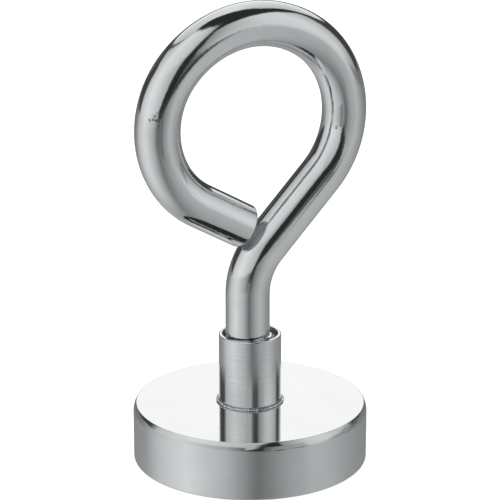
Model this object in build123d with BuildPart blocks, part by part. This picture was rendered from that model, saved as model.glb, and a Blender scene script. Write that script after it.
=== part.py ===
from build123d import *
import math
import os

# Magnet fishing magnet: a steel pot magnet with a threaded neck and a screwed-in closed eye.
# Z runs up the thread's axis, and the origin is the centre of the pot's contact face, which
# looks down. The eye lies in the XZ plane.

# Pot: a turned steel cup, open downwards, with the magnet potted into it.
POT_DIAMETER = 32.0
POT_HEIGHT = 8.0
POT_WALL = 2.0
POT_CAVITY_DEPTH = 5.1
POT_EDGE_RADIAL = 0.38  # the tumbled top edge is rounded further down than in
POT_EDGE_AXIAL = 1.1
POT_FOOT_CHAMFER = 0.3

MAGNET_DIAMETER = 25.6
MAGNET_THICKNESS = 5.0  # its face is ground flush with the pot's rim
MAGNET_CHAMFER = 0.3
POTTING_RECESS = 0.15
POTTING_MENISCUS = 0.25

# Neck: a tapped steel bush, welded to the pot's top face.
NECK_DIAMETER = 8.5
NECK_LENGTH = 9.7
NECK_EDGE = 0.15
NECK_MOUTH_DIAMETER = 7.6
NECK_COUNTERSINK = 0.7  # 45 degree lead-in at the mouth
NECK_COUNTERBORE = 0.5  # plain length between the lead-in and the first thread
WELD_FLASH_OUT = 0.3
WELD_FLASH_HEIGHT = 0.36

# M6 x 1 thread, 60 degrees, with the flank play of a plated hook.
PITCH = 1.0
FLANK_SLOPE = math.tan(math.radians(30))
BOLT_MAJOR_RADIUS = 2.93
BOLT_PITCH_RADIUS = 2.625
BOLT_ROOT_RADIUS = 2.43
NUT_MAJOR_RADIUS = 3.07
NUT_PITCH_RADIUS = 2.735
NUT_MINOR_RADIUS = 2.56
CUTTER_OVERRUN = 0.1

# Eye bolt: one bent rod. Its shank stands a little off the axis of its thread.
ROD_DIAMETER = 6.0
ROD_OFFSET = -0.37
TIP_CLEARANCE = 0.05  # screwed home, the tip seats on the pot's top face
TIP_CHAMFER = 0.5
THREAD_LENGTH = 9.35
THREAD_RUN_OUT = 0.4  # plain length above the last turn
SHANK_EDGE = 0.44  # 45 degree lower edge of the shank, which clears the neck's countersink
SHANK_TOP = 23.37
SHANK_BEND_RADIUS = 9.0
SHANK_BEND_ANGLE = 44.8
LEG_LENGTH = 12.24
EYE_ARCS = ((12.5, 101.9), (15.0, 81.4), (12.0, 101.9))  # (radius, angle) along the eye
TAIL_LENGTH = 7.6
END_ROUNDING = 0.3

BOND_GAP = 0.01  # between glued, potted or welded faces
LOCK_RING_PLAY = 0.03  # between the thread-lock ring and the metal on both sides
LOCK_RING_HEIGHT = 0.3
BLANK_EXCESS = 2.0  # threads are cut in longer blanks, which are then faced to length

pot_radius = POT_DIAMETER / 2
cavity_radius = pot_radius - POT_WALL
magnet_radius = MAGNET_DIAMETER / 2
neck_radius = NECK_DIAMETER / 2
neck_top = POT_HEIGHT + NECK_LENGTH
mouth_radius = NECK_MOUTH_DIAMETER / 2
counterbore_radius = mouth_radius - NECK_COUNTERSINK
countersink_bottom = neck_top - NECK_COUNTERSINK
counterbore_bottom = countersink_bottom - NECK_COUNTERBORE
rod_radius = ROD_DIAMETER / 2
tip_z = POT_HEIGHT + TIP_CLEARANCE
thread_end = tip_z + THREAD_LENGTH


def groove_half_width(pitch_radius, radius, opens_outward):
    """Half the axial width of a 60 degree groove at a radius: a quarter pitch at the pitch radius."""
    away = radius - pitch_radius if opens_outward else pitch_radius - radius
    return PITCH / 4 + away * FLANK_SLOPE


def thread_groove(start_z, height, inner, outer, pitch_radius, opens_outward):
    """The solid swept by a right-hand thread groove that starts on the +X side at start_z."""
    narrow, wide = (inner, outer) if opens_outward else (outer, inner)
    narrow_half = groove_half_width(pitch_radius, narrow, opens_outward)
    wide_half = groove_half_width(pitch_radius, wide, opens_outward)
    with BuildPart() as groove:
        with BuildLine():
            path = Helix(PITCH, height, pitch_radius, center=(0, 0, start_z))
        with BuildSketch(Plane.XZ):
            with BuildLine():
                Polyline(
                    (narrow, start_z - narrow_half),
                    (wide, start_z - wide_half),
                    (wide, start_z + wide_half),
                    (narrow, start_z + narrow_half),
                    close=True,
                )
            make_face()
        sweep(path=path, is_frenet=True)
    return groove.part


# --- pot shell -------------------------------------------------------------------------------
with BuildPart() as pot_shell:
    with BuildSketch(Plane.XZ):
        with BuildLine():
            foot_in = Line((cavity_radius, 0), (pot_radius - POT_FOOT_CHAMFER, 0))
            foot_edge = Line(foot_in @ 1, (pot_radius, POT_FOOT_CHAMFER))
            side = Line(foot_edge @ 1, (pot_radius, POT_HEIGHT - POT_EDGE_AXIAL))
            edge_center = side @ 1 - (POT_EDGE_RADIAL, 0, 0)
            top_edge = EllipticalCenterArc(edge_center, POT_EDGE_RADIAL, POT_EDGE_AXIAL)
            Polyline(
                top_edge @ 1,
                (0, POT_HEIGHT),
                (0, POT_CAVITY_DEPTH),
                (cavity_radius, POT_CAVITY_DEPTH),
                (cavity_radius, 0),
            )
        make_face()
    revolve(axis=Axis.Z)

# --- magnet, its adhesive film and the potting ring ------------------------------------------
with BuildPart() as magnet_disc:
    with BuildSketch(Plane.XY):
        Circle(magnet_radius)
    extrude(amount=MAGNET_THICKNESS)
    chamfer(magnet_disc.edges(), length=MAGNET_CHAMFER)

with BuildPart() as magnet_adhesive:
    with BuildSketch(Plane.XY.offset(MAGNET_THICKNESS)):
        Circle(magnet_radius - MAGNET_CHAMFER)
    extrude(amount=POT_CAVITY_DEPTH - MAGNET_THICKNESS)

with BuildPart() as potting_ring:
    ring_inner = magnet_radius + BOND_GAP
    ring_outer = cavity_radius - BOND_GAP
    with BuildSketch(Plane.XZ):
        with BuildLine():
            ThreePointArc(
                (ring_inner, POTTING_RECESS),
                ((ring_inner + ring_outer) / 2, POTTING_RECESS + POTTING_MENISCUS),
                (ring_outer, POTTING_RECESS),
            )
            Polyline(
                (ring_outer, POTTING_RECESS),
                (ring_outer, POT_CAVITY_DEPTH - BOND_GAP),
                (ring_inner, POT_CAVITY_DEPTH - BOND_GAP),
                (ring_inner, POTTING_RECESS),
            )
        make_face()
    revolve(axis=Axis.Z)

# --- threaded neck and its weld flash --------------------------------------------------------
neck_groove = thread_groove(
    POT_HEIGHT - PITCH,
    NECK_LENGTH + 2 * PITCH,
    NUT_MINOR_RADIUS - CUTTER_OVERRUN,
    NUT_MAJOR_RADIUS,
    NUT_PITCH_RADIUS,
    opens_outward=False,
)
with BuildPart() as threaded_neck:
    with BuildSketch(Plane.XY.offset(POT_HEIGHT - BLANK_EXCESS)):
        Circle(neck_radius)
        Circle(NUT_MINOR_RADIUS, mode=Mode.SUBTRACT)
    extrude(amount=NECK_LENGTH + 2 * BLANK_EXCESS)
    add(neck_groove, mode=Mode.SUBTRACT)
    # Facing cuts the top square with a small outer edge, then opens the mouth.
    with BuildSketch(Plane.XZ):
        with BuildLine():
            Polyline(
                (0, counterbore_bottom - counterbore_radius),
                (counterbore_radius, counterbore_bottom),
                (counterbore_radius, countersink_bottom),
                (mouth_radius, neck_top),
                (neck_radius - NECK_EDGE, neck_top),
                (neck_radius + NECK_EDGE, neck_top - 2 * NECK_EDGE),
                (neck_radius + NECK_EDGE, neck_top + 2 * BLANK_EXCESS),
                (0, neck_top + 2 * BLANK_EXCESS),
                close=True,
            )
        make_face()
    revolve(axis=Axis.Z, mode=Mode.SUBTRACT)
    split(bisect_by=Plane.XY.offset(POT_HEIGHT))

with BuildPart() as weld_bead:
    bead_inner = neck_radius + BOND_GAP
    bead_outer = neck_radius + WELD_FLASH_OUT
    with BuildSketch(Plane.XZ):
        with BuildLine():
            Line((bead_inner, POT_HEIGHT), (bead_outer - WELD_FLASH_OUT / 3, POT_HEIGHT))
            ThreePointArc(
                (bead_outer - WELD_FLASH_OUT / 3, POT_HEIGHT),
                (bead_outer, POT_HEIGHT + WELD_FLASH_HEIGHT / 2),
                (bead_inner, POT_HEIGHT + WELD_FLASH_HEIGHT),
            )
            Line((bead_inner, POT_HEIGHT + WELD_FLASH_HEIGHT), (bead_inner, POT_HEIGHT))
        make_face()
    revolve(axis=Axis.Z)

# --- cured thread-lock ring in the neck's mouth ----------------------------------------------
with BuildPart() as thread_lock_ring:
    lock_inner = BOLT_MAJOR_RADIUS + LOCK_RING_PLAY
    lock_bottom = countersink_bottom + LOCK_RING_PLAY
    lock_top = lock_bottom + LOCK_RING_HEIGHT
    with BuildSketch(Plane.XZ):
        with BuildLine():
            Polyline(
                (lock_inner, lock_bottom),
                (counterbore_radius, lock_bottom),
                (counterbore_radius + LOCK_RING_HEIGHT, lock_top),
                (lock_inner, lock_top),
                close=True,
            )
        make_face()
    revolve(axis=Axis.Z)

# --- eye bolt --------------------------------------------------------------------------------
bolt_groove_start = POT_HEIGHT - PITCH / 2  # half a pitch from the neck's groove
bolt_groove = thread_groove(
    bolt_groove_start,
    thread_end - THREAD_RUN_OUT - bolt_groove_start,
    BOLT_ROOT_RADIUS,
    BOLT_MAJOR_RADIUS + CUTTER_OVERRUN,
    BOLT_PITCH_RADIUS,
    opens_outward=True,
)
with BuildPart() as eye_bolt:
    with BuildLine(Plane.XZ) as rod_line:
        shank = Line((ROD_OFFSET, thread_end), (ROD_OFFSET, SHANK_TOP))
        shank_bend = JernArc(shank @ 1, shank % 1, SHANK_BEND_RADIUS, -SHANK_BEND_ANGLE)
        run = PolarLine(shank_bend @ 1, LEG_LENGTH, direction=shank_bend % 1)
        for arc_radius, arc_angle in EYE_ARCS:
            run = JernArc(run @ 1, run % 1, arc_radius, arc_angle)
        tail = PolarLine(run @ 1, TAIL_LENGTH, direction=run % 1)
    with BuildSketch(Plane.XY.offset(thread_end)):
        with Locations((ROD_OFFSET, 0)):
            Circle(rod_radius)
    sweep(path=rod_line.wires()[0])
    shank_face, end_face = eye_bolt.faces().filter_by(GeomType.PLANE).sort_by(Axis.Z)
    fillet(end_face.edges(), radius=END_ROUNDING)
    chamfer(shank_face.edges(), length=SHANK_EDGE)

    with BuildSketch(Plane.XY.offset(tip_z - BLANK_EXCESS)):
        Circle(BOLT_MAJOR_RADIUS)
    extrude(amount=THREAD_LENGTH + BLANK_EXCESS)
    add(bolt_groove, mode=Mode.SUBTRACT)
    # Facing cuts the tip square and chamfers it down to the thread's root.
    with BuildSketch(Plane.XZ):
        with BuildLine():
            Polyline(
                (0, tip_z),
                (BOLT_MAJOR_RADIUS - TIP_CHAMFER, tip_z),
                (BOLT_MAJOR_RADIUS + TIP_CHAMFER, tip_z + 2 * TIP_CHAMFER),
                (BOLT_MAJOR_RADIUS + TIP_CHAMFER, tip_z - 2 * BLANK_EXCESS),
                (0, tip_z - 2 * BLANK_EXCESS),
                close=True,
            )
        make_face()
    revolve(axis=Axis.Z, mode=Mode.SUBTRACT)

PIECES = {
    "pot_shell": pot_shell,
    "magnet_disc": magnet_disc,
    "magnet_adhesive": magnet_adhesive,
    "potting_ring": potting_ring,
    "threaded_neck": threaded_neck,
    "weld_bead": weld_bead,
    "thread_lock_ring": thread_lock_ring,
    "eye_bolt": eye_bolt,
}

os.makedirs("parts", exist_ok=True)
for name, piece in PIECES.items():
    piece.part.label = name
    export_step(piece.part, f"parts/{name}.step")
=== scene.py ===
import math

import bpy
import numpy as np
from mathutils import Matrix, Vector


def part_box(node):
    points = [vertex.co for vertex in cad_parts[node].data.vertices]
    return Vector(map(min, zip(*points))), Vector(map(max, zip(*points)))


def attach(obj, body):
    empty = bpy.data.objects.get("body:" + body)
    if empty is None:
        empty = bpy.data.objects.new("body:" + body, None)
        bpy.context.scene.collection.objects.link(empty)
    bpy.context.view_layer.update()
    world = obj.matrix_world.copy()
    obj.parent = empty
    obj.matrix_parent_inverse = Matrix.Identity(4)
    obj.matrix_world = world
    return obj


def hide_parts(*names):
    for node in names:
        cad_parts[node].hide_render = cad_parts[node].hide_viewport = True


# Magnet fishing magnet: a nickel-plated pot magnet with a welded, threaded neck and a bent-rod eye.
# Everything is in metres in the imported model's frame: Z up the thread's axis, the eye in the XZ plane.

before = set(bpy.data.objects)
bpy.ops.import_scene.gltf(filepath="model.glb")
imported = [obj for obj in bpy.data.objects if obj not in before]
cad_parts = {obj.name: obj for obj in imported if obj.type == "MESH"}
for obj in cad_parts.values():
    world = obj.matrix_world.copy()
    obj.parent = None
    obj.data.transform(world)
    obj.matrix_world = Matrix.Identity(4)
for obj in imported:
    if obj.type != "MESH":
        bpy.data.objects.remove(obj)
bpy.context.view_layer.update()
rng = np.random.default_rng(20)

MM = 0.001
TURN = 2 * math.pi

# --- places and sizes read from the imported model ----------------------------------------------
pot_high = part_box("pot_shell")[1]
neck_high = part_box("threaded_neck")[1]
magnet_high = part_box("magnet_disc")[1]
potting_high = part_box("potting_ring")[1]
bolt_low, bolt_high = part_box("eye_bolt")

POT_RADIUS = pot_high.x
POT_TOP = pot_high.z
NECK_RADIUS = neck_high.x
NECK_TOP = neck_high.z
MAGNET_RADIUS = magnet_high.x
MAGNET_TOP = magnet_high.z
CAVITY_RADIUS = potting_high.x
CAVITY_TOP = potting_high.z
ROD_RADIUS = bolt_high.y
TIP_Z = bolt_low.z

# --- the design's own dimensions, as in the model's source ------------------------------------
PITCH = 1.0 * MM
FLANK_SLOPE = math.tan(math.radians(30))
BOLT_MAJOR = 2.93 * MM
BOLT_PITCH_RADIUS = 2.625 * MM
BOLT_ROOT = 2.43 * MM
NUT_MAJOR = 3.07 * MM
NUT_PITCH_RADIUS = 2.735 * MM
NUT_MINOR = 2.56 * MM
ROD_OFFSET = -0.37 * MM
THREAD_END = 17.4 * MM
SHANK_CHAMFER = 0.44 * MM
SHANK_TOP = 23.37 * MM
SHANK_BEND = (9.0 * MM, -44.8)
LEG_LENGTH = 12.24 * MM
EYE_ARCS = ((12.5 * MM, 101.9), (15.0 * MM, 81.4), (12.0 * MM, 101.9))
TAIL_LENGTH = 7.6 * MM
END_ROUNDING = 0.3 * MM
MOUTH_RADIUS = 3.8 * MM
COUNTERSINK = 0.7 * MM
COUNTERBORE = 0.5 * MM


# --- mesh helpers -----------------------------------------------------------------------------
def new_piece(name, points, faces, body, replaced, materials):
    """A smooth-shaded mesh piece that rides on a body and stands for a CAD node."""
    mesh = bpy.data.meshes.new(name)
    mesh.from_pydata([tuple(p) for p in points], [], faces)
    mesh.validate()
    mesh.shade_smooth()
    piece = bpy.data.objects.new(name, mesh)
    bpy.context.scene.collection.objects.link(piece)
    for material in materials:
        mesh.materials.append(material)
    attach(piece, body)
    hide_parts(replaced)
    return piece


def grid_faces(rows, columns):
    """Quads of a grid of closed rings, each ring's last point joining its first."""
    faces = []
    for i in range(rows - 1):
        for j in range(columns):
            k = (j + 1) % columns
            faces.append((i * columns + j, i * columns + k, (i + 1) * columns + k, (i + 1) * columns + j))
    return faces


def closed_rings(rings):
    """Points and faces of a closed skin through rings, with a centre point at each end."""
    rings = np.asarray(rings)
    rows, columns = rings.shape[:2]
    points = rings.reshape(-1, 3)
    faces = grid_faces(rows, columns)
    first, last = len(points), len(points) + 1
    points = np.vstack([points, rings[0].mean(0), rings[-1].mean(0)])
    base = (rows - 1) * columns
    for j in range(columns):
        k = (j + 1) % columns
        faces.append((first, k, j))
        faces.append((last, base + j, base + k))
    return points, faces


def ring_angles(count):
    return np.arange(count) * TURN / count


def upright_section(radii, heights, angle):
    """Points of a cross-section of radii and heights, stood at an angle round Z."""
    radii = np.array(radii)
    return np.stack([radii * math.cos(angle), radii * math.sin(angle), np.array(heights)], 1)


def arc_points(center, radii, start, end, steps):
    """(r, z) points along an elliptical arc, angles in degrees."""
    return [
        (center[0] + radii[0] * math.cos(math.radians(a)), center[1] + radii[1] * math.sin(math.radians(a)))
        for a in np.linspace(start, end, steps)
    ]


def straight(start, end, steps, pull=0.0):
    """Points from start to end, both left out; pull gathers them towards the two ends."""
    spread = np.linspace(0, 1, steps + 2)[1:-1]
    spread = (1 - pull) * spread + pull * (0.5 - 0.5 * np.cos(math.pi * spread))
    return [(start[0] + (end[0] - start[0]) * t, start[1] + (end[1] - start[1]) * t) for t in spread]


def smooth_step(x, low, high):
    t = np.clip((np.asarray(x, float) - low) / (high - low), 0, 1)
    return t * t * (3 - 2 * t)


def thread_radius(z, angle, groove_start, root, crest, pitch_radius, external):
    """Radius of a 60 degree right-hand thread's surface at a height and angle."""
    phase = (z - groove_start) / PITCH - angle / TURN
    off_groove = np.abs(phase - np.round(phase)) * PITCH
    narrow = root if external else crest
    flat = PITCH / 4 - abs(pitch_radius - narrow) * FLANK_SLOPE
    rise = np.maximum(0, off_groove - flat) / FLANK_SLOPE
    if external:
        return np.minimum(crest, root + rise)
    return np.maximum(root, crest - rise)


# --- materials --------------------------------------------------------------------------------
NICKEL = (0.735, 0.767, 0.775)


class Nodes:
    """A short hand for building a material's node tree."""

    def __init__(self, name):
        self.material = bpy.data.materials.new(name)
        self.material.use_nodes = True
        self.tree = self.material.node_tree
        self.shader = self.tree.nodes["Principled BSDF"]
        self.position = self.add("ShaderNodeTexCoord").outputs["Object"]

    def add(self, kind, **settings):
        node = self.tree.nodes.new(kind)
        for key, value in settings.items():
            setattr(node, key, value)
        return node

    def link(self, source, target):
        self.tree.links.new(source, target)

    def scaled(self, scale):
        """Object position in metres, stretched by a factor per axis."""
        mapping = self.add("ShaderNodeMapping")
        mapping.inputs["Scale"].default_value = scale
        self.link(self.position, mapping.inputs["Vector"])
        return mapping.outputs["Vector"]

    def noise(self, scale, detail=2.0, roughness=0.5, stretch=(1, 1, 1)):
        node = self.add("ShaderNodeTexNoise")
        node.inputs["Scale"].default_value = scale
        node.inputs["Detail"].default_value = detail
        node.inputs["Roughness"].default_value = roughness
        self.link(self.scaled(stretch), node.inputs["Vector"])
        return node.outputs["Fac"]

    def remap(self, source, low, high, to_low, to_high):
        node = self.add("ShaderNodeMapRange")
        node.inputs["From Min"].default_value = low
        node.inputs["From Max"].default_value = high
        node.inputs["To Min"].default_value = to_low
        node.inputs["To Max"].default_value = to_high
        self.link(source, node.inputs["Value"])
        return node.outputs["Result"]

    def math(self, operation, a, b=None):
        node = self.add("ShaderNodeMath", operation=operation)
        for socket, value in zip(node.inputs, (a, b)):
            if isinstance(value, (int, float)):
                socket.default_value = value
            elif value is not None:
                self.link(value, socket)
        return node.outputs["Value"]

    def mix_color(self, factor, a, b):
        node = self.add("ShaderNodeMix", data_type="RGBA")
        node.inputs["A"].default_value = (*a, 1)
        node.inputs["B"].default_value = (*b, 1)
        self.link(factor, node.inputs["Factor"])
        return node.outputs["Result"]

    def darken(self, color, factor, dark):
        """Blends a colour towards a dark one by a factor."""
        node = self.add("ShaderNodeMix", data_type="RGBA")
        node.inputs["B"].default_value = (*dark, 1)
        self.link(color, node.inputs["A"])
        self.link(factor, node.inputs["Factor"])
        return node.outputs["Result"]

    def radius(self):
        """Distance from the Z axis, in metres."""
        split = self.add("ShaderNodeSeparateXYZ")
        self.link(self.position, split.inputs["Vector"])
        squares = [self.math("MULTIPLY", split.outputs[a], split.outputs[a]) for a in ("X", "Y")]
        return self.math("SQRT", self.math("ADD", *squares))

    def height(self):
        split = self.add("ShaderNodeSeparateXYZ")
        self.link(self.position, split.inputs["Vector"])
        return split.outputs["Z"]

    def lines(self, coordinate, per_metre, detail=3.0):
        """A 1D noise along a coordinate, for turning lines."""
        node = self.add("ShaderNodeTexNoise", noise_dimensions="1D")
        node.inputs["Scale"].default_value = per_metre
        node.inputs["Detail"].default_value = detail
        self.link(coordinate, node.inputs["W"])
        return node.outputs["Fac"]

    def bump(self, height, distance, under=None):
        node = self.add("ShaderNodeBump")
        node.inputs["Strength"].default_value = 1.0
        node.inputs["Distance"].default_value = distance
        self.link(height, node.inputs["Height"])
        if under is not None:
            self.link(under, node.inputs["Normal"])
        return node.outputs["Normal"]

    def finish(self, color=None, roughness=None, normal=None, **sockets):
        if color is not None:
            self.link(color, self.shader.inputs["Base Color"])
        if roughness is not None:
            self.link(roughness, self.shader.inputs["Roughness"])
        if normal is not None:
            self.link(normal, self.shader.inputs["Normal"])
        for name, value in sockets.items():
            self.shader.inputs[name.replace("_", " ")].default_value = value
        return self.material


def darker(color, factor):
    return tuple(c * factor for c in color)


def polished_nickel(scuffs):
    """Bright plating over a drawn rod: clear reflections, faint ripples, and scuffs round given points."""
    n = Nodes("polished_nickel")
    clouds = n.noise(260, 3, 0.6)
    grain = n.noise(3400, 2, 0.5)
    ripple = n.noise(900, 2, 0.5)
    color = n.mix_color(n.remap(clouds, 0.35, 0.7, 0, 1), NICKEL, darker(NICKEL, 0.94))
    rough = n.remap(n.math("ADD", clouds, grain), 0.7, 1.4, 0.07, 0.13)
    ragged = n.noise(5600, 3, 0.7, stretch=(0.45, 0.45, 1.7))
    for point, radius in scuffs:
        away = n.add("ShaderNodeVectorMath", operation="DISTANCE")
        away.inputs[1].default_value = point
        n.link(n.position, away.inputs[0])
        near = n.remap(away.outputs["Value"], 0.2 * radius, radius, 1, 0)
        worn = n.remap(n.math("MULTIPLY", near, ragged), 0.36, 0.50, 0, 0.9)
        color = n.darken(color, worn, (0.10, 0.11, 0.11))
        rough = n.math("ADD", rough, n.math("MULTIPLY", worn, 0.2))
    normal = n.bump(ripple, 0.000006)
    normal = n.bump(grain, 0.000004, under=normal)
    return n.finish(color, rough, normal, Metallic=1.0)


def mirror_nickel():
    """The pot's polished top face, with the faintest circular polishing marks."""
    n = Nodes("mirror_nickel")
    radius = n.radius()
    marks = n.lines(radius, 9000)
    clouds = n.noise(180, 3, 0.6)
    color = n.mix_color(n.remap(clouds, 0.35, 0.7, 0, 1), (0.785, 0.790, 0.790), (0.765, 0.770, 0.770))
    rough = n.remap(clouds, 0.3, 0.75, 0.03, 0.07)
    return n.finish(color, rough, n.bump(marks, 0.0000004), Metallic=1.0)


def satin_turned():
    """The pot's turned side: fine rings round it that spread reflections up and down."""
    n = Nodes("satin_turned_nickel")
    rings = n.lines(n.height(), 9000, 4)
    clouds = n.noise(220, 4, 0.6)
    fine = n.lines(n.height(), 16000, 2)
    color = n.mix_color(n.remap(n.math("ADD", fine, clouds), 0.7, 1.35, 0, 1), NICKEL, darker(NICKEL, 0.90))
    rough = n.remap(rings, 0.3, 0.75, 0.16, 0.24)
    return around_axis(n, color, rough, n.bump(rings, 0.0000005))


def around_axis(n, color, rough, normal):
    """Finishes a turned surface: its gloss is spread across the turning lines."""
    tangent = n.add("ShaderNodeTangent", direction_type="RADIAL", axis="Z")
    n.link(tangent.outputs["Tangent"], n.shader.inputs["Tangent"])
    return n.finish(color, rough, normal, Metallic=1.0, Anisotropic=0.9, Anisotropic_Rotation=0.25)


def neck_turned():
    """The neck: coarser turning lines than the pot's side, brighter crests."""
    n = Nodes("turned_neck_nickel")
    rings = n.lines(n.height(), 5200, 4)
    clouds = n.noise(400, 3, 0.6)
    fine = n.lines(n.height(), 4600, 3)
    color = n.mix_color(n.remap(n.math("ADD", fine, clouds), 0.75, 1.25, 0, 1), NICKEL, darker(NICKEL, 0.90))
    rough = n.remap(rings, 0.3, 0.75, 0.17, 0.25)
    return around_axis(n, color, rough, n.bump(rings, 0.0000012))


def plain_metal(name, color, rough_low, rough_high, scale, bump, patchy=0.85):
    n = Nodes(name)
    grain = n.noise(scale, 4, 0.6)
    color = n.mix_color(n.remap(grain, 0.3, 0.7, 0, 1), color, darker(color, patchy))
    rough = n.remap(grain, 0.3, 0.7, rough_low, rough_high)
    return n.finish(color, rough, n.bump(grain, bump), Metallic=1.0)


def turned_face(name, tone, rough_low, rough_high):
    """A faced surface seen from below: concentric tool marks."""
    n = Nodes(name)
    rings = n.lines(n.radius(), 4200, 4)
    color = n.mix_color(n.remap(rings, 0.3, 0.7, 0, 1), darker(NICKEL, tone), darker(NICKEL, tone * 0.9))
    rough = n.remap(rings, 0.3, 0.7, rough_low, rough_high)
    return n.finish(color, rough, n.bump(rings, 0.000004), Metallic=1.0)


def potting_epoxy():
    n = Nodes("black_potting_epoxy")
    grain = n.noise(900, 4, 0.6)
    dust = n.noise(4200, 2, 0.5)
    color = n.mix_color(n.remap(grain, 0.3, 0.7, 0, 1), (0.018, 0.018, 0.019), (0.034, 0.034, 0.035))
    rough = n.remap(dust, 0.3, 0.7, 0.28, 0.45)
    return n.finish(color, rough, n.bump(grain, 0.00001))


def cured_resin():
    n = Nodes("cured_thread_lock")
    grain = n.noise(1300, 3, 0.6)
    color = n.mix_color(n.remap(grain, 0.3, 0.7, 0, 1), (0.050, 0.055, 0.060), (0.085, 0.090, 0.092))
    rough = n.remap(grain, 0.3, 0.7, 0.06, 0.16)
    return n.finish(color, rough, n.bump(grain, 0.00004), IOR=1.55, Coat_Weight=0.6, Coat_Roughness=0.05)


MIRROR = mirror_nickel()
SATIN = satin_turned()
NECK = neck_turned()
FLASH = plain_metal("weld_flash_nickel", darker(NICKEL, 0.9), 0.12, 0.25, 1500, 0.000010)
RIM = plain_metal("polished_rim_nickel", darker(NICKEL, 0.95), 0.06, 0.13, 700, 0.000001, 0.96)
# The mouth's bore: rough plating whose colour is darkened to a third of the nickel's, as painted shade in the
# recess.
BORE_PAINTED_SHADE = plain_metal("bore_nickel_painted_shade", darker(NICKEL, 0.34), 0.25, 0.45, 2600, 0.00001)
CUT_END = plain_metal("cut_rod_end", (0.74, 0.74, 0.735), 0.45, 0.6, 2600, 0.00001)
MAGNET_FACE = turned_face("magnet_nickel", 0.92, 0.18, 0.26)
POT_FACE = turned_face("pot_rim_face", 0.9, 0.2, 0.3)
EPOXY = potting_epoxy()
RESIN = cured_resin()


# --- eye bolt ---------------------------------------------------------------------------------
def rod_route():
    """(s, x, z, direction) along the rod's centreline from the thread's end to the cut end."""
    x, z, heading, s = ROD_OFFSET, THREAD_END, math.radians(90), 0.0
    route = [(s, x, z, heading)]

    def run(length, step):
        nonlocal x, z, s
        count = max(1, round(length / step))
        for _ in range(count):
            x += length / count * math.cos(heading)
            z += length / count * math.sin(heading)
            s += length / count
            route.append((s, x, z, heading))

    def bend(radius, degrees, step):
        nonlocal x, z, s, heading
        angle = math.radians(degrees)
        count = max(4, round(abs(angle) * radius / step))
        side = math.copysign(1, angle)
        center_x = x - side * radius * math.sin(heading)
        center_z = z + side * radius * math.cos(heading)
        for _ in range(count):
            heading += angle / count
            x = center_x + side * radius * math.sin(heading)
            z = center_z - side * radius * math.cos(heading)
            s += abs(angle) * radius / count
            route.append((s, x, z, heading))

    step = 0.13 * MM
    run(SHANK_TOP - THREAD_END, step)
    bend(*SHANK_BEND, step)
    run(LEG_LENGTH, step)
    for radius, degrees in EYE_ARCS:
        bend(radius, degrees, step)
    run(TAIL_LENGTH - END_ROUNDING, step)
    return route


ROD_SEGMENTS = 128
ROD_ANGLES = ring_angles(ROD_SEGMENTS)

# Marks of the bending tool: (distance along the rod, angle round it, length, width, depth).
BEND_MARKS = (
    (75.0, -52, 0.24, 0.35, 0.022),
    (75.4, -48, 0.16, 0.6, 0.014),
    (75.8, -57, 0.14, 0.4, 0.012),
    (74.6, -60, 0.18, 0.35, 0.014),
    (32.4, -140, 0.28, 0.5, 0.030),
    (32.9, -134, 0.16, 0.3, 0.022),
    (56.6, -92, 0.25, 0.3, 0.010),
    (84.6, -106, 0.8, 0.12, 0.009),
    (86.4, -101, 1.0, 0.12, 0.009),
    (7.6, -135, 0.12, 1.2, 0.006),
)


# Scuffs by the bending tool: (distance along the rod, angle round it, size).
SCUFFS = ((75.3, -57, 0.62), (75.25, -50, 0.66), (74.9, -52, 0.5), (75.4, -42, 0.55), (32.6, -138, 0.5))


def scuff_points():
    route = rod_route()
    points = []
    for along, degrees, size in SCUFFS:
        _, x, z, heading = min(route, key=lambda place: abs(place[0] - along * MM))
        angle = math.radians(degrees)
        outwards = Vector((math.sin(heading), 0, -math.cos(heading)))
        out = outwards * math.cos(angle) + Vector((0, 1, 0)) * math.sin(angle)
        points.append((Vector((x, 0, z)) + out * ROD_RADIUS, size * MM))
    return points


POLISHED = polished_nickel(scuff_points())


def rod_relief(s):
    """How far the rod's skin stands off its nominal radius, all round, at a distance along it."""
    relief = np.zeros(ROD_SEGMENTS)
    for along, degrees, length, width, depth in BEND_MARKS:
        around = (ROD_ANGLES - math.radians(degrees) + math.pi) % TURN - math.pi
        arc = around * ROD_RADIUS / MM
        relief -= depth * MM * np.exp(-(((s / MM - along) / length) ** 2) - (arc / width) ** 2)
    return relief


def rod_ring(x, z, heading, radius):
    """A ring square to the rod's centreline; angle 0 is on the eye's outer side, -90 faces -Y."""
    across = np.array([math.sin(heading), 0, -math.cos(heading)])
    sideways = np.array([0, 1, 0])
    spread = np.cos(ROD_ANGLES)[:, None] * across + np.sin(ROD_ANGLES)[:, None] * sideways
    return np.array([x, 0, z]) + radius[:, None] * spread


def bolt_thread_radius(z):
    groove_start = POT_TOP - PITCH / 2
    radius = thread_radius(z, ROD_ANGLES, groove_start, BOLT_ROOT, BOLT_MAJOR, BOLT_PITCH_RADIUS, True)
    turns = np.round((z - groove_start) / PITCH - ROD_ANGLES / TURN)
    groove_z = groove_start + (turns + ROD_ANGLES / TURN) * PITCH
    fade = smooth_step(groove_z, THREAD_END - 0.9 * PITCH, THREAD_END - 0.4 * PITCH)
    radius = BOLT_MAJOR - (BOLT_MAJOR - radius) * (1 - fade)
    return np.minimum(radius, BOLT_ROOT + (z - TIP_Z))


def shoulder_radius(z):
    """The thread's flat end with the chamfered end of the offset shank standing on it."""
    rise = z - THREAD_END
    eased_edge = 0.04 * MM * smooth_step(rise, 0, 0.02 * MM)
    flat_end = 2 * MM * smooth_step(rise, 0.005 * MM, 0.04 * MM)
    thread_end = BOLT_MAJOR - eased_edge - flat_end
    shank = min(ROD_RADIUS, ROD_RADIUS - SHANK_CHAMFER + rise)
    across = ROD_OFFSET * np.cos(ROD_ANGLES) + np.sqrt(shank**2 - (ROD_OFFSET * np.sin(ROD_ANGLES)) ** 2)
    return np.maximum(thread_end, across)


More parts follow.
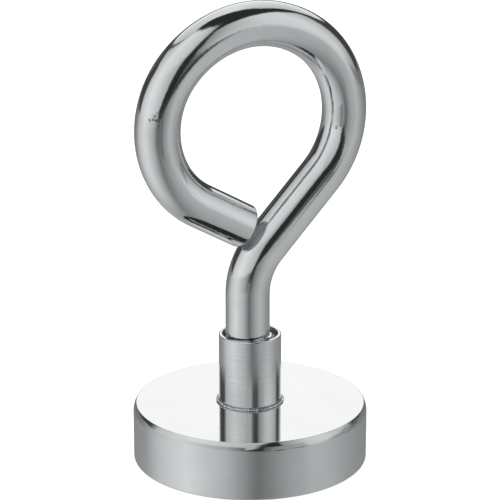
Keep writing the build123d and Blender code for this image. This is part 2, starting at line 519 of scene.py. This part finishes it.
# Heights of the rings up the shoulder, above the thread's end, in millimetres.
SHOULDER_RISES = (0, 0.01, 0.03, 0.08, 0.14, 0.2, 0.28, 0.36, 0.41, 0.425, 0.44, 0.47)


def eye_bolt():
    rings = []
    for share in (0.3, 0.6, 0.9, 0.98):
        rings.append(rod_ring(0, TIP_Z, math.pi / 2, np.full(ROD_SEGMENTS, share * BOLT_ROOT)))
    rows = round((THREAD_END - TIP_Z) / (PITCH / 22))
    for z in np.linspace(TIP_Z, THREAD_END, rows):
        rings.append(rod_ring(0, z, math.pi / 2, bolt_thread_radius(z)))
    for rise in SHOULDER_RISES:
        z = THREAD_END + rise * MM
        rings.append(rod_ring(0, z, math.pi / 2, shoulder_radius(z)))
    route = rod_route()
    for s, x, z, heading in route:
        if s > SHANK_CHAMFER + 0.1 * MM:
            rings.append(rod_ring(x, z, heading, ROD_RADIUS + rod_relief(s)))
    _, x, z, heading = route[-1]
    for a in np.linspace(0, 90, 8)[1:]:
        out = END_ROUNDING * math.sin(math.radians(a))
        radius = ROD_RADIUS - END_ROUNDING * (1 - math.cos(math.radians(a)))
        ring_x = x + out * math.cos(heading)
        ring_z = z + out * math.sin(heading)
        rings.append(rod_ring(ring_x, ring_z, heading, np.full(ROD_SEGMENTS, radius)))
    end_x = x + END_ROUNDING * math.cos(heading)
    end_z = z + END_ROUNDING * math.sin(heading)
    face_start = len(rings)
    for share in (0.97, 0.7, 0.35):
        radius = np.full(ROD_SEGMENTS, share * (ROD_RADIUS - END_ROUNDING))
        rings.append(rod_ring(end_x, end_z, heading, radius))
    points, faces = closed_rings(rings)
    piece = new_piece("eye_bolt_forged", points, faces, "eye", "eye_bolt", (POLISHED, CUT_END))
    last = len(piece.data.vertices) - 1
    for face in piece.data.polygons:
        if min(face.vertices) >= face_start * ROD_SEGMENTS or last in face.vertices:
            face.material_index = 1
    return piece


# --- pot, neck and what they hold -------------------------------------------------------------
POT_SEGMENTS = 360
NECK_SEGMENTS = 192


def turned_rings(profile, segments):
    angles = ring_angles(segments)
    return [
        np.stack([r * np.cos(angles), r * np.sin(angles), np.full(segments, z)], 1) for r, z in profile
    ]


def assign_by_profile(piece, segments, groups):
    """Gives material slots to the rows of a turned piece: (first row, slot) pairs in order."""
    for face in piece.data.polygons:
        row = min(v for v in face.vertices) // segments
        face.material_index = [slot for first, slot in groups if row >= first][-1]


def rim_profile():
    """The tumbled band round the pot's top edge, from the flat top down to the turned side."""
    tilts = np.concatenate([np.linspace(90, 34, 9), np.linspace(31, 8, 22)])
    steps = np.concatenate([np.full(9, 0.012), np.full(22, 0.0506)]) * MM
    drop = np.cumsum(steps * np.cos(np.radians(tilts)))
    out = np.cumsum(steps * np.sin(np.radians(tilts)))
    return [(POT_RADIUS - out[-1] + r, POT_TOP - z) for r, z in zip(out, drop)]


# Handling nicks in the pot's rim band: (degrees round Z, depth below the top, length, width, depth).
RIM_NICKS = [(-105.0, 0.95, 0.9, 0.10, 0.055)] + [
    (rng.uniform(-75, -40), rng.uniform(0.15, 1.0), rng.uniform(0.15, 0.6), rng.uniform(0.05, 0.12), 0.015)
    for _ in range(22)
] + [
    (rng.uniform(0, 360), rng.uniform(0.15, 1.0), rng.uniform(0.1, 0.4), rng.uniform(0.05, 0.10), 0.008)
    for _ in range(24)
]


def nick_rim(rings):
    """Presses the nicks into the rings of the pot, inwards."""
    angle = np.arctan2(rings[..., 1], rings[..., 0])
    radius = np.hypot(rings[..., 0], rings[..., 1])
    outer = radius > POT_RADIUS - 0.5 * MM
    for degrees, below, length, width, depth in RIM_NICKS:
        around = (angle - math.radians(degrees) + math.pi) % TURN - math.pi
        across = (POT_TOP - rings[..., 2]) / MM - below
        press = np.exp(-((around * POT_RADIUS / MM / length) ** 2) - (across / width) ** 2)
        scale = 1 - outer * press * depth * MM / np.maximum(radius, MM)
        rings[..., 0] *= scale
        rings[..., 1] *= scale


def pot_shell():
    foot = 0.3 * MM
    crease = 0.03 * MM  # how near a sharp edge a second ring stands, to keep its shading crisp
    rim = rim_profile()
    top = [(0.5 * MM, POT_TOP), (2 * MM, POT_TOP)] + straight((3 * MM, POT_TOP), rim[0], 24, 0.6)
    top += [(rim[0][0] - crease, POT_TOP)]
    side = [(POT_RADIUS, rim[-1][1] - crease)] + straight(rim[-1], (POT_RADIUS, foot), 24)
    side += [(POT_RADIUS, foot + crease)]
    foot_arc = arc_points((POT_RADIUS - foot, foot), (foot, foot), 0, -90, 9)
    face = [(POT_RADIUS - foot - crease, 0), (CAVITY_RADIUS + 0.13 * MM, 0), (CAVITY_RADIUS + 0.1 * MM, 0)]
    wall = [(CAVITY_RADIUS, 0.1 * MM), (CAVITY_RADIUS, 0.15 * MM), (CAVITY_RADIUS, CAVITY_TOP - 0.05 * MM)]
    cavity_floor = [(CAVITY_RADIUS, CAVITY_TOP), (CAVITY_RADIUS - 0.05 * MM, CAVITY_TOP)]
    cavity_floor += [(1 * MM, CAVITY_TOP)]
    profile = top + rim + side + foot_arc + face + wall + cavity_floor
    rings = np.array(turned_rings(profile, POT_SEGMENTS))
    nick_rim(rings)
    points, faces = closed_rings(rings)
    piece = new_piece("pot_cup", points, faces, "pot", "pot_shell", (MIRROR, SATIN, POT_FACE, RIM))
    rows_rim = len(top)
    rows_side = len(top + rim)
    rows_face = len(top + rim + side) + len(foot_arc) // 2 + 1
    groups = ((0, 0), (rows_rim, 3), (rows_side, 1), (rows_face, 2))
    assign_by_profile(piece, POT_SEGMENTS, groups)
    for face in piece.data.polygons:
        if len(face.vertices) == 3 and piece.data.vertices[face.vertices[0]].co.z > POT_TOP - 0.01 * MM:
            face.material_index = 0
    return piece


def threaded_neck():
    edge = 0.15 * MM
    soft = 0.05 * MM
    groove_start = POT_TOP - PITCH
    angles = ring_angles(NECK_SEGMENTS)
    bore = MOUTH_RADIUS - COUNTERSINK
    bore_top = NECK_TOP - COUNTERSINK
    bore_bottom = bore_top - COUNTERBORE
    outside = [(NECK_RADIUS, POT_TOP)] + straight((NECK_RADIUS, POT_TOP), (NECK_RADIUS, NECK_TOP - edge), 20)
    outside += [(NECK_RADIUS, NECK_TOP - edge - 0.02 * MM)]
    rows_edge = len(outside)
    outside += arc_points((NECK_RADIUS - edge, NECK_TOP - edge), (edge, edge), 0, 90, 8)
    outside += [(NECK_RADIUS - edge - 0.02 * MM, NECK_TOP), (MOUTH_RADIUS + soft + 0.02 * MM, NECK_TOP)]
    outside += arc_points((MOUTH_RADIUS + soft, NECK_TOP - soft), (soft, soft), 90, 160, 5)
    inside = straight((MOUTH_RADIUS - soft, NECK_TOP - soft), (bore, bore_top), 6)
    inside += [(bore, bore_top), (bore, bore_top - soft), (bore, bore_bottom + soft), (bore, bore_bottom)]
    rings = turned_rings(outside + inside, NECK_SEGMENTS)
    rows = round((bore_bottom - POT_TOP) / (PITCH / 20))
    for z in np.linspace(bore_bottom, POT_TOP, rows)[1:]:
        radius = thread_radius(z, angles, groove_start, NUT_MINOR, NUT_MAJOR, NUT_PITCH_RADIUS, False)
        radius = np.maximum(radius, bore - (bore_bottom - z))
        heights = np.full(NECK_SEGMENTS, z)
        rings.append(np.stack([radius * np.cos(angles), radius * np.sin(angles), heights], 1))
    points = np.vstack(rings)
    faces = grid_faces(len(rings), NECK_SEGMENTS)
    base = (len(rings) - 1) * NECK_SEGMENTS
    for j in range(NECK_SEGMENTS):
        k = (j + 1) % NECK_SEGMENTS
        faces.append((base + j, base + k, k, j))
    piece = new_piece("threaded_neck_bush", points, faces, "pot", "threaded_neck", (NECK, RIM, BORE_PAINTED_SHADE))
    # Slot 2, the countersink and bore inside the mouth, takes the nickel darkened as painted shade.
    assign_by_profile(piece, NECK_SEGMENTS, ((0, 0), (rows_edge, 1), (len(outside) - 2, 2)))
    return piece


def wobble(angles, seed, strength, harmonics):
    """A smooth random curve round a circle."""
    local = np.random.default_rng(seed)
    total = np.zeros_like(angles)
    for h in harmonics:
        total += local.normal() * np.cos(h * angles) + local.normal() * np.sin(h * angles)
    return strength * total / max(1e-9, np.abs(total).max())


def ring_piece(name, sections, body, replaced, materials):
    """A closed ring from cross-sections, one for each angle round Z."""
    sections = np.asarray(sections)
    count, points_each = sections.shape[:2]
    points = sections.reshape(-1, 3)
    faces = []
    for i in range(count):
        k = (i + 1) % count
        for j in range(points_each):
            m = (j + 1) % points_each
            faces.append((i * points_each + j, k * points_each + j, k * points_each + m, i * points_each + m))
    piece = new_piece(name, points, faces, body, replaced, materials)
    return piece


def weld_flash():
    """A thin bead of upset metal round the foot of the neck, rolled over so that its edge is undercut."""
    count = 480
    angles = ring_angles(count)
    beads = wobble(angles, 5, 0.035 * MM, range(28, 90, 3))
    out = 0.36 * MM + wobble(angles, 3, 0.06 * MM, (2, 3, 5, 9, 14, 22)) + beads
    high = 0.26 * MM + wobble(angles, 4, 0.06 * MM, (2, 4, 7, 11, 19)) + beads * 0.8
    root = NECK_RADIUS - 0.05 * MM
    sections = []
    for i, angle in enumerate(angles):
        radii = [root, NECK_RADIUS + out[i] * 0.55]
        heights = [POT_TOP - 0.02 * MM, POT_TOP - 0.02 * MM]
        for a in np.linspace(-70, 105, 15):
            radii.append(NECK_RADIUS + out[i] * (0.45 + 0.55 * math.cos(math.radians(a))))
            heights.append(POT_TOP + high[i] * (0.48 + 0.52 * math.sin(math.radians(a))))
        radii += [NECK_RADIUS + out[i] * 0.12, root]
        heights += [POT_TOP + high[i] * 0.55, POT_TOP + high[i] * 0.5]
        sections.append(upright_section(radii, heights, angle))
    return ring_piece("weld_flash_ring", sections, "pot", "weld_bead", (FLASH,))


def thread_lock():
    count = 200
    angles = ring_angles(count)
    inner = BOLT_MAJOR + 0.02 * MM
    rise = 0.30 * MM + wobble(angles, 7, 0.06 * MM, (2, 3, 5, 8, 13))
    fill = 0.80 + wobble(angles, 8, 0.14, (3, 4, 7, 11))
    low = NECK_TOP - COUNTERSINK + 0.02 * MM
    bore = MOUTH_RADIUS - COUNTERSINK
    crown = 0.04 * MM
    sections = []
    for i, angle in enumerate(angles):
        top = low + rise[i]
        outer = bore + rise[i] * fill[i]
        shore = low + rise[i] * fill[i]
        radii = [inner, bore, outer]
        heights = [low, low, shore]
        for t in (0.2, 0.45, 0.7, 0.9):
            radii.append(outer + (inner - outer) * t)
            heights.append(shore + (top - shore) * t + crown * math.sin(math.pi * t))
        radii.append(inner)
        heights.append(top)
        sections.append(upright_section(radii, heights, angle))
    return ring_piece(
        "thread_lock_bead", sections, "thread_carrier", "thread_lock_ring", (RESIN,)
    )


def magnet_disc():
    edge = 0.3 * MM
    crease = 0.03 * MM
    profile = [(1 * MM, 0), (MAGNET_RADIUS - edge - crease, 0)]
    profile += arc_points((MAGNET_RADIUS - edge, edge), (edge, edge), -90, 0, 8)
    profile += [(MAGNET_RADIUS, edge + crease), (MAGNET_RADIUS, MAGNET_TOP - crease)]
    profile += [(MAGNET_RADIUS, MAGNET_TOP), (MAGNET_RADIUS - crease, MAGNET_TOP), (1 * MM, MAGNET_TOP)]
    points, faces = closed_rings(turned_rings(profile[::-1], POT_SEGMENTS))
    piece = new_piece("magnet_plated_disc", points, faces, "pot", "magnet_disc", (MAGNET_FACE,))
    return piece


def potting_ring():
    count = 240
    angles = ring_angles(count)
    inner = MAGNET_RADIUS + 0.005 * MM
    outer = CAVITY_RADIUS - 0.005 * MM
    dip = 0.28 * MM + wobble(angles, 11, 0.05 * MM, (2, 3, 6, 9, 15))
    sections = []
    for i, angle in enumerate(angles):
        radii, heights = [], []
        for t in np.linspace(0, 1, 9):
            radii.append(inner + (outer - inner) * t)
            heights.append(0.12 * MM + dip[i] * math.sin(math.pi * t))
        radii += [outer, inner]
        heights += [CAVITY_TOP - 0.02 * MM, CAVITY_TOP - 0.02 * MM]
        sections.append(upright_section(radii, heights, angle))
    return ring_piece("potting_epoxy_ring", sections, "pot", "potting_ring", (EPOXY,))


eye_bolt()
pot_shell()
threaded_neck()
weld_flash()
thread_lock()
magnet_disc()
potting_ring()
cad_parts["magnet_adhesive"].data.materials.clear()
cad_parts["magnet_adhesive"].data.materials.append(EPOXY)


# --- studio -----------------------------------------------------------------------------------
CAMERA_AZIMUTH = 0.506  # radians; the camera stands on the -Y side, turned towards -X
CAMERA_DISTANCE = 257.855 * MM
CAMERA_HEIGHT = 108.924 * MM
CAMERA_PITCH = 0.299
SENSOR = 36.0
FOCAL_LENGTH = 144.8

toward_camera = Vector((-math.sin(CAMERA_AZIMUTH), -math.cos(CAMERA_AZIMUTH), 0))
camera_right = Vector((math.cos(CAMERA_AZIMUTH), -math.sin(CAMERA_AZIMUTH), 0))


def camera():
    data = bpy.data.cameras.new("camera")
    data.sensor_width = SENSOR
    data.lens = FOCAL_LENGTH
    data.clip_start = 0.01
    data.clip_end = 50
    item = bpy.data.objects.new("camera", data)
    bpy.context.scene.collection.objects.link(item)
    forward = -toward_camera * math.cos(CAMERA_PITCH) - Vector((0, 0, math.sin(CAMERA_PITCH)))
    up = camera_right.cross(forward)
    rotation = Matrix((camera_right, up, -forward)).transposed()
    place = toward_camera * CAMERA_DISTANCE + Vector((0, 0, CAMERA_HEIGHT))
    item.matrix_world = Matrix.Translation(place) @ rotation.to_4x4()
    bpy.context.scene.camera = item


def floor():
    count, radius = 128, 4.0
    angles = [TURN * i / count for i in range(count)]
    points = [(radius * math.cos(angle), radius * math.sin(angle), 0) for angle in angles]
    mesh = bpy.data.meshes.new("studio_floor")
    mesh.from_pydata(points, [], [tuple(range(count))])
    item = bpy.data.objects.new("studio_floor", mesh)
    item.location.z = -0.02 * MM
    bpy.context.scene.collection.objects.link(item)
    n = Nodes("studio_floor_paper")
    n.finish(
        Base_Color=(0.9, 0.9, 0.9, 1), Roughness=0.8, Emission_Color=(1, 1, 1, 1), Emission_Strength=0.72
    )
    # The paper is clear from below, so that the underside can be looked at.
    mix = n.add("ShaderNodeMixShader")
    n.link(n.add("ShaderNodeNewGeometry").outputs["Backfacing"], mix.inputs[0])
    n.link(n.shader.outputs[0], mix.inputs[1])
    n.link(n.add("ShaderNodeBsdfTransparent").outputs[0], mix.inputs[2])
    n.link(mix.outputs[0], n.tree.nodes["Material Output"].inputs["Surface"])
    mesh.materials.append(n.material)
    item.visible_glossy = False


# Two low cards near the object, either side of the camera, as (azimuth from the camera, light).
CARDS = (
    ((-72, 0.86), (-54, 0.82), (-20, 0.47), (-4, 0.15)),
    ((12, 0.12), (24, 0.30), (50, 0.52)),
)
CARD_DISTANCE = 120 * MM
CARD_HEIGHT = 38 * MM


def cards():
    for number, stops in enumerate(CARDS):
        azimuths = np.linspace(stops[0][0], stops[-1][0], 33)
        points, faces = [], []
        for i, azimuth in enumerate(azimuths):
            angle = math.radians(azimuth)
            place = (toward_camera * math.cos(angle) + camera_right * math.sin(angle)) * CARD_DISTANCE
            points += [(place.x, place.y, 0), (place.x, place.y, CARD_HEIGHT)]
            if i:
                faces.append((2 * i - 2, 2 * i, 2 * i + 1, 2 * i - 1))
        mesh = bpy.data.meshes.new(f"low_card_{number}")
        mesh.from_pydata(points, [], faces)
        levels = np.interp(azimuths, [a for a, _ in stops], [level for _, level in stops])
        tone = mesh.attributes.new("tone", "FLOAT", "POINT")
        tone.data.foreach_set("value", np.repeat(levels, 2))
        n = Nodes(f"low_card_{number}")
        read = n.add("ShaderNodeAttribute", attribute_name="tone")
        n.link(read.outputs["Fac"], n.shader.inputs["Emission Strength"])
        n.finish(Base_Color=(0, 0, 0, 1), Specular_IOR_Level=0, Emission_Color=(1, 1, 1, 1))
        mesh.materials.append(n.material)
        item = bpy.data.objects.new(f"low_card_{number}", mesh)
        bpy.context.scene.collection.objects.link(item)
        item.visible_camera = False
        item.visible_diffuse = False
        item.visible_shadow = False


class Sky:
    """The studio round the object, as light by direction: soft boxes, gaps and the table's tone."""

    def __init__(self):
        world = bpy.data.worlds.new("studio")
        bpy.context.scene.world = world
        world.use_nodes = True
        self.tree = world.node_tree
        self.tree.nodes.clear()
        coordinates = self.add("ShaderNodeTexCoord").outputs["Generated"]
        right = self.along(coordinates, camera_right)
        toward = self.along(coordinates, toward_camera)
        self.azimuth = self.degrees(self.math("ARCTAN2", right, toward))
        self.elevation = self.degrees(self.math("ARCSINE", self.along(coordinates, Vector((0, 0, 1)))))
        self.level = GAP_LIGHT

    def add(self, kind, **settings):
        node = self.tree.nodes.new(kind)
        for key, value in settings.items():
            setattr(node, key, value)
        return node

    def plug(self, value, socket):
        if isinstance(value, (int, float)):
            socket.default_value = value
        else:
            self.tree.links.new(value, socket)

    def math(self, operation, a, b=0.0):
        node = self.add("ShaderNodeMath", operation=operation)
        self.plug(a, node.inputs[0])
        if operation not in ("ARCSINE", "ABSOLUTE"):
            self.plug(b, node.inputs[1])
        return node.outputs["Value"]

    def along(self, vector, direction):
        node = self.add("ShaderNodeVectorMath", operation="DOT_PRODUCT")
        self.plug(vector, node.inputs[0])
        node.inputs[1].default_value = direction
        return node.outputs["Value"]

    def degrees(self, radians):
        return self.math("MULTIPLY", radians, 180 / math.pi)

    def above(self, value, edge, soft):
        """0 below the edge and 1 above it, eased over soft degrees."""
        node = self.add("ShaderNodeMapRange", interpolation_type="SMOOTHSTEP")
        self.plug(self.math("SUBTRACT", value, edge), node.inputs["Value"])
        node.inputs["From Min"].default_value = -soft / 2
        node.inputs["From Max"].default_value = soft / 2
        return node.outputs["Result"]

    def below(self, value, edge, soft):
        return self.math("SUBTRACT", 1.0, self.above(value, edge, soft))

    def both(self, *masks):
        result = masks[0]
        for mask in masks[1:]:
            result = self.math("MULTIPLY", result, mask)
        return result

    def patch(self, left, right, bottom, top):
        """A four-sided mask; each side is an (edge, soft) pair, in degrees."""
        return self.both(
            self.above(self.azimuth, *left),
            self.below(self.azimuth, *right),
            self.above(self.elevation, *bottom),
            self.below(self.elevation, *top),
        )

    def mix(self, factor, a, b):
        node = self.add("ShaderNodeMix", data_type="FLOAT")
        self.plug(factor, node.inputs["Factor"])
        self.plug(a, node.inputs["A"])
        self.plug(b, node.inputs["B"])
        return node.outputs["Result"]

    def lay(self, mask, level):
        """Blends the light towards a level where the mask is 1."""
        self.level = self.mix(mask, self.level, level)

    def curve(self, coordinate, stops):
        """A curve through (coordinate, value) stops, lifted because a ramp holds no negative values."""
        low, high = stops[0][0], stops[-1][0]
        lift = max(0.0, -min(value for _, value in stops))
        place = self.add("ShaderNodeMapRange")
        self.plug(coordinate, place.inputs["Value"])
        place.inputs["From Min"].default_value = low
        place.inputs["From Max"].default_value = high
        ramp = self.add("ShaderNodeValToRGB")
        elements = ramp.color_ramp.elements
        elements.remove(elements[0])
        for i, (where, value) in enumerate(stops):
            at = (where - low) / (high - low)
            element = elements[0] if i == 0 else elements.new(at)
            element.position = at
            element.color = (value + lift, value + lift, value + lift, 1)
        self.plug(place.outputs["Result"], ramp.inputs["Fac"])
        return self.math("SUBTRACT", ramp.outputs["Color"], lift) if lift else ramp.outputs["Color"]


# The table's light by azimuth, near the object and far off by the horizon: brightest under the two boxes.
TABLE_NEAR = (
    (-180, 0.40), (-125, 0.57), (-95, 0.78), (-65, 0.84), (-30, 0.60), (5, 0.25), (60, 0.53), (90, 0.58),
    (180, 0.38),
)
TABLE_FAR = (
    (-180, 0.13), (-125, 0.25), (-100, 0.62), (-65, 0.92), (-20, 0.58), (8, 0.14), (40, 0.46), (68, 0.60),
    (110, 0.31), (180, 0.13),
)
UNDERNEATH = 0.27
# The top edge of the lit walls and box, as (azimuth, elevation).
LIT_TOP = (
    (-180, 76), (-115, 70), (-70, 77.5), (-15, 77.5), (12, 73), (28, 65), (110, 60), (145, 73.5), (180, 76),
)
# The left box: its edges as (elevation, azimuth), its light by azimuth below and above its fold.
LEFT_BOX_LEFT = ((0, -105), (31, -105), (36, -133), (90, -133))
LEFT_BOX_RIGHT = ((0, -7), (5, 1), (12, 6), (30, 10), (35, 16), (62, 31), (90, 31))
LEFT_BOX_LOW_TONE = ((-140, 0.50), (-100, 0.70), (-60, 0.97), (-40, 0.87), (5, 0.55), (31, 0.50))
LEFT_BOX_HIGH_TONE = ((-140, 0.45), (-115, 0.63), (-65, 0.95), (5, 0.75), (31, 0.50))
# The right box, in the same way.
RIGHT_BOX_LEFT = ((0, 50), (17, 32), (22, 31), (90, 31))
RIGHT_BOX_TOP = ((30, 46.5), (60, 48.5), (85, 48), (115, 39))
RIGHT_BOX_TONE = ((30, 0.30), (60, 0.80), (78, 0.85), (118, 0.50))
# The backdrop behind the object: its lower edge as (azimuth, elevation), then its light by azimuth
# and the factor on it by elevation.
BACKDROP_LOW = (
    (-180, 14), (-155, 19), (-135, 34), (-100, 64), (-85, 85), (108, 85), (116, 56), (124, 39), (135, 27),
    (150, 17.5), (180, 14),
)
BACKDROP_TONE = ((-180, 1.0), (-145, 0.84), (-90, 0.60), (110, 0.50), (125, 0.74), (180, 1.0))
BACKDROP_FALL = ((10, 1.17), (24, 1.15), (42, 0.95), (90, 0.95))
# The dark edge of the table under the front gap: its lower side as (azimuth, elevation).
TABLE_EDGE_LOW = ((-10, -6), (30, -4), (36, -4), (54, -8.5))
# Four-sided patches of light: left, right, bottom and top sides, each as (edge, softness) in degrees.
GLOW = ((31, 4), (60, 10), (2, 4), (44, 6))
STRIP = ((-149, 4), (-140, 4), (6, 4), (18, 6))
BRIGHT_STRETCH = ((58, 6), (80, 12), (-7, 3), (1, 2))
FAINT_LINE = ((85, 12), (130, 20), (-4.5, 3), (0, 3))
# How bright the gaps between the lights are, and each small light or dark feature.
GAP_LIGHT = 0.028
GLOW_LIGHT = 0.13
SEAM_LIGHT = 0.07
CORNER_LIGHT = 0.062
STRIP_LIGHT = 0.20
TABLE_EDGE_LIGHT = 0.045
BRIGHT_STRETCH_LIGHT = 0.76
FAINT_LINE_LIGHT = 0.14
FAINT_LINE_STRENGTH = 0.5


def studio_light():
    sky = Sky()
    az, el = sky.azimuth, sky.elevation
    top = sky.curve(az, LIT_TOP)
    left_tone = sky.mix(
        sky.above(el, 37.0, 8), sky.curve(az, LEFT_BOX_LOW_TONE), sky.curve(az, LEFT_BOX_HIGH_TONE)
    )
    left_box = sky.both(
        sky.above(az, sky.curve(el, LEFT_BOX_LEFT), 15),
        sky.below(az, sky.curve(el, LEFT_BOX_RIGHT), 9),
        sky.below(el, top, 5),
    )
    sky.lay(left_box, left_tone)
    # A faint glow of the room shows beside the right box's lower edge.
    sky.lay(sky.patch(*GLOW), GLOW_LIGHT)
    right_box = sky.both(
        sky.above(az, sky.curve(el, RIGHT_BOX_LEFT), 4),
        sky.below(az, 113.0, 10),
        sky.below(el, sky.curve(az, RIGHT_BOX_TOP), 5),
    )
    far_corner = sky.both(sky.above(az, 92.0, 24), sky.below(el, 6.0, 18), 0.4)
    right_tone = sky.math("MULTIPLY", sky.curve(az, RIGHT_BOX_TONE), sky.math("SUBTRACT", 1.0, far_corner))
    sky.lay(right_box, right_tone)
    back_low = sky.curve(az, BACKDROP_LOW)
    back_tone = sky.math("MULTIPLY", sky.curve(az, BACKDROP_TONE), sky.curve(el, BACKDROP_FALL))
    sky.lay(sky.both(sky.above(el, back_low, 4), sky.below(el, top, 5)), back_tone)
    # A dark seam runs up between the backdrop and the left box.
    seam_low = sky.math("SUBTRACT", back_low, 5.0)
    seam = sky.both(
        sky.above(el, seam_low, 2),
        sky.below(el, back_low, 3),
        sky.below(az, -99.0, 8),
        sky.above(el, 28.0, 10),
    )
    sky.lay(seam, SEAM_LIGHT)
    # The gaps at the back corners let a little of the room in; a faint strip stands in the left one.
    corners = sky.both(
        sky.above(sky.math("ABSOLUTE", az), 100.0, 20), sky.below(el, 36.0, 8), sky.below(sky.level, 0.3, 0.3)
    )
    sky.lay(corners, sky.math("MAXIMUM", sky.level, CORNER_LIGHT))
    sky.lay(sky.patch(*STRIP), STRIP_LIGHT)
    # The table: light at the left, dull towards the camera, darkening underneath.
    table = sky.mix(sky.above(el, -24.0, 42), sky.curve(az, TABLE_NEAR), sky.curve(az, TABLE_FAR))
    table = sky.mix(sky.below(el, -68.0, 50), table, UNDERNEATH)
    sky.lay(sky.below(el, 0.0, 3), table)
    # The table's dark edge under the front gap; to its right a bright stretch, and then a faint dark line.
    sky.lay(sky.patch((-3, 10), (53, 7), (sky.curve(az, TABLE_EDGE_LOW), 4), (1.5, 3)), TABLE_EDGE_LIGHT)
    sky.lay(sky.patch(*BRIGHT_STRETCH), BRIGHT_STRETCH_LIGHT)
    sky.lay(sky.math("MULTIPLY", sky.patch(*FAINT_LINE), FAINT_LINE_STRENGTH), FAINT_LINE_LIGHT)
    background = sky.add("ShaderNodeBackground")
    sky.plug(sky.level, background.inputs["Color"])
    paper = sky.add("ShaderNodeBackground")
    paper.inputs["Color"].default_value = (1, 1, 1, 1)
    seen = sky.add("ShaderNodeLightPath").outputs["Is Camera Ray"]
    mix = sky.add("ShaderNodeMixShader")
    output = sky.add("ShaderNodeOutputWorld")
    sky.plug(seen, mix.inputs[0])
    sky.plug(background.outputs[0], mix.inputs[1])
    sky.plug(paper.outputs[0], mix.inputs[2])
    sky.plug(mix.outputs[0], output.inputs["Surface"])


camera()
floor()
cards()
studio_light()
scene = bpy.context.scene
scene.view_settings.view_transform = "Standard"
scene.view_settings.look = "None"
